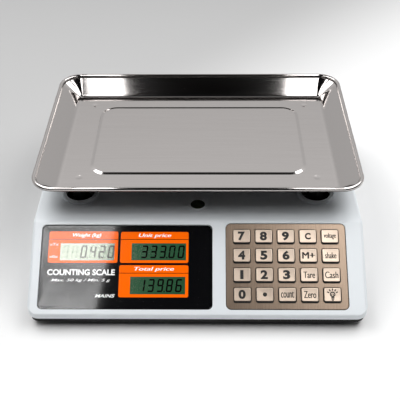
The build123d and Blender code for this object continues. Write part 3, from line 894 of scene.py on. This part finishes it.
def lamp_symbol(ink, body, u, v):
    """A small bulb with rays for the back light key."""
    parts = []
    settle()
    bpy.ops.mesh.primitive_circle_add(vertices=24, radius=2.5 * MM, fill_type="NGON",
                                      location=(0, 0.9 * MM, 0))
    bulb = bpy.context.object
    pick(bulb, "FACE", lambda face: True)
    bpy.ops.mesh.inset(thickness=1.0 * MM)
    done()
    pick(bulb, "FACE", lambda face: len(face.vertices) == 24)
    bpy.ops.mesh.delete(type="FACE")
    done()
    parts.append(bulb)
    bars = [(0, -2.0, 3.0, 0.9, 0), (0, -3.2, 2.6, 0.9, 0), (0, -4.3, 1.8, 0.8, 0)]
    bars += [(-0.7, 0.1, 0.55, 2.2, 18), (0.7, 0.1, 0.55, 2.2, -18), (0, 1.2, 1.9, 0.5, 0)]
    reach = 4.3
    for angle in (-64, -34, 0, 34, 64):
        x = -math.sin(math.radians(angle)) * reach
        y = 0.9 + math.cos(math.radians(angle)) * reach
        bars.append((x, y, 0.95, 2.0, angle))
    for x, y, width, height, angle in bars:
        bar = rounded_sheet("ray", width, height, 0)
        pick(bar, "VERT", lambda corner: True)
        bpy.ops.mesh.subdivide(number_cuts=1)
        bpy.ops.mesh.select_all(action="SELECT")
        bpy.ops.transform.rotate(value=-math.radians(angle), orient_axis="Z", center_override=(0, 0, 0))
        bpy.ops.transform.translate(value=(x * MM, y * MM, 0))
        done()
        parts.append(bar)
    symbol = joined(parts, body + "_symbol")
    pick(symbol, "FACE", lambda face: True)
    bpy.ops.transform.resize(value=(1.12, 1.12, 1), center_override=(0, 0, 0))
    done()
    thicken(symbol, KEY_INK)
    seat(symbol, FRONT, u, v, KEY_TOP - KEY_INK)
    hand_over(symbol, ink, body)


def keys(metal, side, ink):
    """Twenty caps, bright metal on top; their sides and the steep part of each rounded edge are painted
    dark as shade.
    """
    cap = key_cap()
    outward = (FRONT.to_3x3() @ Vector((0, 0, 1))).normalized()
    for row, names in enumerate(KEY_ROWS):
        for column, (body, word) in enumerate(names):
            u = KEY_FIRST[0] + column * KEY_PITCH[0]
            v = KEY_FIRST[1] + row * KEY_PITCH[1]
            key = twin(cap, body + "_cap")
            seat(key, FRONT, u, v)
            hand_over(key, metal, body, (body,), angle=50)
            key.data.materials.append(side)
            for face in key.data.polygons:
                # Faces tilted more than about 33 degrees from the front get the dark side material: painted
                # shade along the sides and rounded edges of each cap.
                face.material_index = int(face.normal.dot(outward) < 0.84)
            level = KEY_TOP - KEY_INK
            if word.isdigit():
                wide, bold = (3.3, 0.0) if word == "1" else (7.2, 0.05)
                printed(body + "_legend", word, (wide, 9.3), body, ink, FRONT, u - 0.3, v - 0.1, level,
                        bold=bold)
            elif word:
                bold = 0.05 if word == "C" else 0.0
                strike = {"C": 0.0, "M+": 0.7}.get(word, 0.35)
                printed(body + "_legend", word, WORD_SIZE[word], body, ink, FRONT, u - strike / 2, v, level,
                        bold=bold, strike=strike)
            elif body == "key_point":
                settle()
                bpy.ops.mesh.primitive_circle_add(vertices=28, radius=2.1 * MM, fill_type="NGON")
                dot = bpy.context.object
                dot.name = "key_point_dot"
                thicken(dot, KEY_INK)
                seat(dot, FRONT, u, v, level)
                hand_over(dot, ink, body)
            else:
                lamp_symbol(ink, body, u, v + 0.7)
    bpy.data.objects.remove(cap)


def key_shadow_strips(dark):
    """Painted shadow below each key: a dark strip that peeks out past the key's lower edge, modelled once
    and copied.
    """
    sheet = thicken(rounded_sheet("key_shadow", KEY_W - 0.2, KEY_H, KEY_R, 0.0, 5), 0.03)
    key_room = rounded_sheet("key_room", KEY_W + 0.1, KEY_H + 0.1, KEY_R, -1.0, 5, at=(0, KEY_SHADOW_DROP))
    cut(sheet, [thicken(key_room, 2)])
    sheets = []
    for row, names in enumerate(KEY_ROWS):
        for column in range(len(names)):
            copy = twin(sheet, "key_shadow")
            copy.location.x = (KEY_FIRST[0] + column * KEY_PITCH[0]) * MM
            copy.location.y = -(KEY_FIRST[1] + row * KEY_PITCH[1] + KEY_SHADOW_DROP) * MM
            sheets.append(copy)
    bpy.data.objects.remove(sheet)
    gaps = joined(sheets, "key_shadow_strips")
    take(gaps)
    bpy.ops.object.transform_apply(location=True, rotation=True, scale=True)
    seat(gaps, FRONT, 0, 0, PLATE_TOP)
    hand_over(gaps, dark)


def painted_edge_shadows(dark):
    """Painted shadow: thin dark rings laid round the window and the keypad plate, where the gaps between
    them and the housing fall in shade.
    """
    for name, (u, v, width, depth, radius) in (("window_shadow_ring", WINDOW), ("plate_shadow_ring", KEY_PLATE)):
        ring = rounded_sheet(name, width + 2 * SHADOW_RING_W, depth + 2 * SHADOW_RING_W, radius, 0.0, 8)
        pick(ring, "FACE", lambda face: True)
        bpy.ops.mesh.inset(thickness=SHADOW_RING_W * MM)
        done()
        best = max(face.area for face in ring.data.polygons)
        pick(ring, "FACE", lambda face: face.area > best * 0.99)
        bpy.ops.mesh.delete(type="FACE")
        done()
        thicken(ring, 0.05)
        seat(ring, FRONT, u, v, -0.01)
        hand_over(ring, dark)


# ---- spirit level ----
def spirit_level(glass, fluid, ring_ink):
    """A round vial: spirit darkened as painted shade, with a dark ring and a bubble, inside a clear rim."""
    low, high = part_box("spirit_level")
    centre = ((low[0] + high[0]) / 2, LEVEL_Y * MM)
    top = high[2]
    settle()
    bpy.ops.mesh.primitive_circle_add(vertices=48, radius=LEVEL_FLUID_R * MM, fill_type="NGON",
                                      location=(centre[0], centre[1], top - 0.0016))
    pool = bpy.context.object
    pool.name = "level_fluid"
    thicken(pool, 0.7)
    pick(pool, "FACE", lambda face: face.normal.z > 0.9)
    bpy.ops.mesh.inset(thickness=1.2 * MM, depth=0.3 * MM)
    bpy.ops.mesh.inset(thickness=2.5 * MM, depth=0.12 * MM)
    done()
    take(pool)
    bpy.ops.object.transform_apply(location=True, rotation=True, scale=True)
    hand_over(pool, fluid)
    settle()
    bpy.ops.mesh.primitive_torus_add(major_radius=2.9 * MM, minor_radius=0.16 * MM, major_segments=40,
                                     minor_segments=8, location=(centre[0], centre[1], top - 0.0004))
    ring = bpy.context.object
    ring.name = "level_ring"
    bpy.ops.object.transform_apply(location=True, rotation=True, scale=True)
    pick(ring, "FACE", lambda face: True)
    bpy.ops.transform.resize(value=(1, 1, 0.6), center_override=(centre[0], centre[1], top - 0.0004))
    done()
    hand_over(ring, ring_ink)
    settle()
    bpy.ops.mesh.primitive_uv_sphere_add(segments=24, ring_count=12, radius=1.9 * MM,
                                         location=(centre[0] + 0.0006, centre[1] + 0.0004, top - 0.00048))
    bubble = bpy.context.object
    bubble.name = "level_bubble"
    bpy.ops.object.transform_apply(location=True, rotation=True, scale=True)
    pick(bubble, "FACE", lambda face: True)
    bpy.ops.transform.resize(value=(1, 1, 0.22), center_override=(centre[0], centre[1], top - 0.00048))
    done()
    hand_over(bubble, glass)
    settle()
    bpy.ops.mesh.primitive_torus_add(major_radius=7.0 * MM, minor_radius=0.5 * MM, major_segments=56,
                                     minor_segments=10, location=(centre[0], centre[1], top - 0.0004))
    rim = bpy.context.object
    rim.name = "level_rim"
    bpy.ops.object.transform_apply(location=True, rotation=True, scale=True)
    pick(rim, "FACE", lambda face: True)
    bpy.ops.transform.resize(value=(1, 1, 0.8), center_override=(centre[0], centre[1], top - 0.0004))
    done()
    hand_over(rim, glass)


# ---- side pocket details ----
def inlet_pins(metal):
    """The two round pins of the mains inlet."""
    low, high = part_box("mains_inlet")
    middle_y = (low[1] + high[1]) / 2
    middle_z = (low[2] + high[2]) / 2
    for index, side in enumerate((-1, 1)):
        settle()
        bpy.ops.mesh.primitive_cylinder_add(
            vertices=24, radius=1.26 * MM, depth=7.6 * MM,
            location=(PIN_X * MM, middle_y + side * PIN_AWAY * MM, middle_z),
            rotation=(0, math.radians(90), 0))
        pin = bpy.context.object
        pin.name = "inlet_pin_%d" % (index + 1)
        bpy.ops.object.transform_apply(location=True, rotation=True, scale=True)
        pick(pin, "FACE", lambda face: face.normal.x > 0.9)
        bpy.ops.mesh.bevel(offset=0.6 * MM, segments=3, affect="EDGES")
        done()
        hand_over(pin, metal)


def rocker_marks(ink):
    """I and O marks on the two halves of the rocker."""
    tilt = math.radians(ROCKER_TILT)
    pivot = Vector(ROCKER_PIVOT)
    for name, word, sign, size in (("rocker_on", "I", -1, (0.7, 4.0)), ("rocker_off", "O", 1, (3.4, 3.6))):
        lean = tilt - sign * math.radians(ROCKER_HALF)
        spot = Matrix.Rotation(tilt, 3, "Z") @ Vector((7.62, sign * 4.3, 0)) + pivot
        out = (math.cos(lean), math.sin(lean), 0)
        across = (-math.sin(lean), math.cos(lean), 0)
        printed(name, word, size, "rocker", ink, face_of(spot, across, out), 0, 0, -0.02, thick=0.06)


# ---- the finished scale ----
studio()
camera()

steel = polished_steel()
# Darker, duller steel for the pan's underside and the bead's lower half: partly real, partly painted shade.
dull_steel_and_painted_shade = finish("dull_steel_and_painted_shade", (0.2, 0.19, 0.187), 0.3, metal=1.0, grain=1.0, depth=0.1,
                    stretch=(12, 900, 900))
white = finish("white_moulding", (0.83, 0.87, 0.9), 0.3, grain=1400, depth=0.06, spread=0.04, tint=0.012)
base_black = finish("base_moulding", (0.009, 0.009, 0.01), 0.55, grain=1600, depth=0.3, tint=0.15, ior=1.3)
rubber = finish("black_rubber", (0.016, 0.016, 0.017), 0.62, grain=1100, depth=0.25, tint=0.2)
film_black = finish("film_gloss", (0.004, 0.004, 0.005), 0.06, grain=300, depth=0.0, spread=0.01, ior=1.8)
# Both prints glow: painted light that brightens them beyond what the lamps give.
orange = finish("orange_print_painted_light", (0.97, 0.135, 0.001), 0.07, grain=700, depth=0.0, spread=0.01, tint=0.02,
                ior=1.6, glow=0.33)
print_white_painted_light = finish("white_print_painted_light", (0.92, 0.92, 0.92), 0.08, grain=700, depth=0.0, spread=0.01, tint=0.02,
                     ior=1.8, glow=0.35)
digit_ink = finish("digit_ink", (0.12, 0.125, 0.115), 0.12, metal=1.0, grain=900, depth=0.0, spread=0.01)
idle_ink = clear_sheet("idle_bar_ink", (0.01, 0.02, 0.012), 0.025, 0.15)
pane = clear_sheet("window_acrylic", (0.02, 0.02, 0.02), 0.04)
cell = display_glass("display_cell", (0.016, 0.078, 0.032))
plate_metal = brushed("plate_metal", (0.2, 0.148, 0.11), (0.36, 0.272, 0.205), 0.32)
key_metal = brushed("key_metal", (0.52, 0.42, 0.34), (0.64, 0.523, 0.425), 0.36)
# Dark material for the key sides and steep edges: painted shade.
key_side_painted_shade = finish("key_side_painted_shade", (0.02, 0.016, 0.013), 0.5, grain=900, depth=0.05)
# Black for the key legends, also used for the painted shadows below the keys and round the openings.
legend_and_shade_black = finish("legend_and_shade_black", (0.005, 0.005, 0.005), 0.6, grain=900, depth=0.0, tint=0.2)
zinc = finish("zinc_finish", (0.6, 0.61, 0.62), 0.3, metal=1.0, grain=500, depth=0.05, spread=0.08)
cast = finish("cast_aluminium", (0.5, 0.51, 0.52), 0.42, metal=1.0, grain=700, depth=0.3, spread=0.08)
board_green = finish("board_lacquer", (0.02, 0.12, 0.05), 0.35, grain=260, depth=0.1, tint=0.3)
silicone = finish("silicone_mat", (0.32, 0.32, 0.33), 0.6, grain=900, depth=0.1)
iron = finish("laminated_iron", (0.16, 0.15, 0.14), 0.45, metal=0.8, grain=1.0, depth=0.3,
              stretch=(20, 20, 2400))
battery_grey = finish("battery_case", (0.06, 0.065, 0.07), 0.45, grain=1200, depth=0.2)
black_plastic = finish("black_moulding", (0.018, 0.018, 0.02), 0.38, grain=1500, depth=0.15, tint=0.15)
rocker_black = finish("rocker_gloss", (0.014, 0.014, 0.015), 0.16, grain=900, depth=0.02, spread=0.02)
# Near-black spirit colour: painted shade standing in for the dark under the pan.
vial_fluid_painted_dark = finish("level_fluid", (0.02, 0.034, 0.012), 0.05, grain=300, depth=0.0, spread=0.01, ior=1.45,
                    coat=0.6)
vial_clear = finish("level_lens", (0.12, 0.13, 0.12), 0.05, grain=300, depth=0.0, spread=0.01, coat=0.8)

NODE_FINISH = {
    "weighing_tray": (steel, 0), "tray_pads": (rubber, 0.4), "tray_posts": (base_black, 0.4),
    "platform_spider": (cast, 0.4), "load_cell": (cast, 0), "load_cell_bolts": (zinc, 0),
    "cell_mount_plate": (zinc, 0), "overload_stops": (zinc, 0), "top_housing": (white, 0.4),
    "bottom_base": (base_black, 0.4), "housing_screws": (zinc, 0.2), "front_window": (pane, 0.3),
    "front_mask": (film_black, 0), "front_display_board": (board_green, 0), "lcd_weight": (cell, 0),
    "lcd_unit_price": (cell, 0), "lcd_total": (cell, 0), "rear_window": (pane, 0.3), "rear_lcds": (cell, 0),
    "rear_display_board": (board_green, 0), "keypad_plate": (plate_metal, 0.5), "keypad_mat": (silicone, 0),
    "keypad_board": (board_green, 0), "main_board": (board_green, 0), "transformer": (iron, 0),
    "battery": (battery_grey, 0), "battery_door": (base_black, 0.4), "battery_door_screw": (zinc, 0.2),
    "spirit_level": (vial_fluid_painted_dark, 0), "switch_frame": (black_plastic, 0.3),
    "power_rocker": (rocker_black, 0.3), "mains_inlet": (black_plastic, 0.3),
}
for number in range(1, 5):
    NODE_FINISH["foot_pad_%d" % number] = (rubber, 0.4)
    NODE_FINISH["foot_screw_%d" % number] = (zinc, 0.2)
for name in NODES:
    if name.startswith("key_"):
        NODE_FINISH[name] = (key_metal, 0)
for name, (material, width) in NODE_FINISH.items():
    colour_node(name, material)
    if width:
        dress(name, width)

inks = (orange, print_white_painted_light, digit_ink, idle_ink)
weighing_pan(steel, dull_steel_and_painted_shade)
front_window(inks)
customer_window(inks, film_black)
keys(key_metal, key_side_painted_shade, legend_and_shade_black)
key_shadow_strips(legend_and_shade_black)
painted_edge_shadows(legend_and_shade_black)
spirit_level(vial_clear, vial_fluid_painted_dark, digit_ink)
inlet_pins(zinc)
rocker_marks(print_white_painted_light)
missing = sorted(set(NODES) - set(NODE_FINISH))
assert not missing, missing
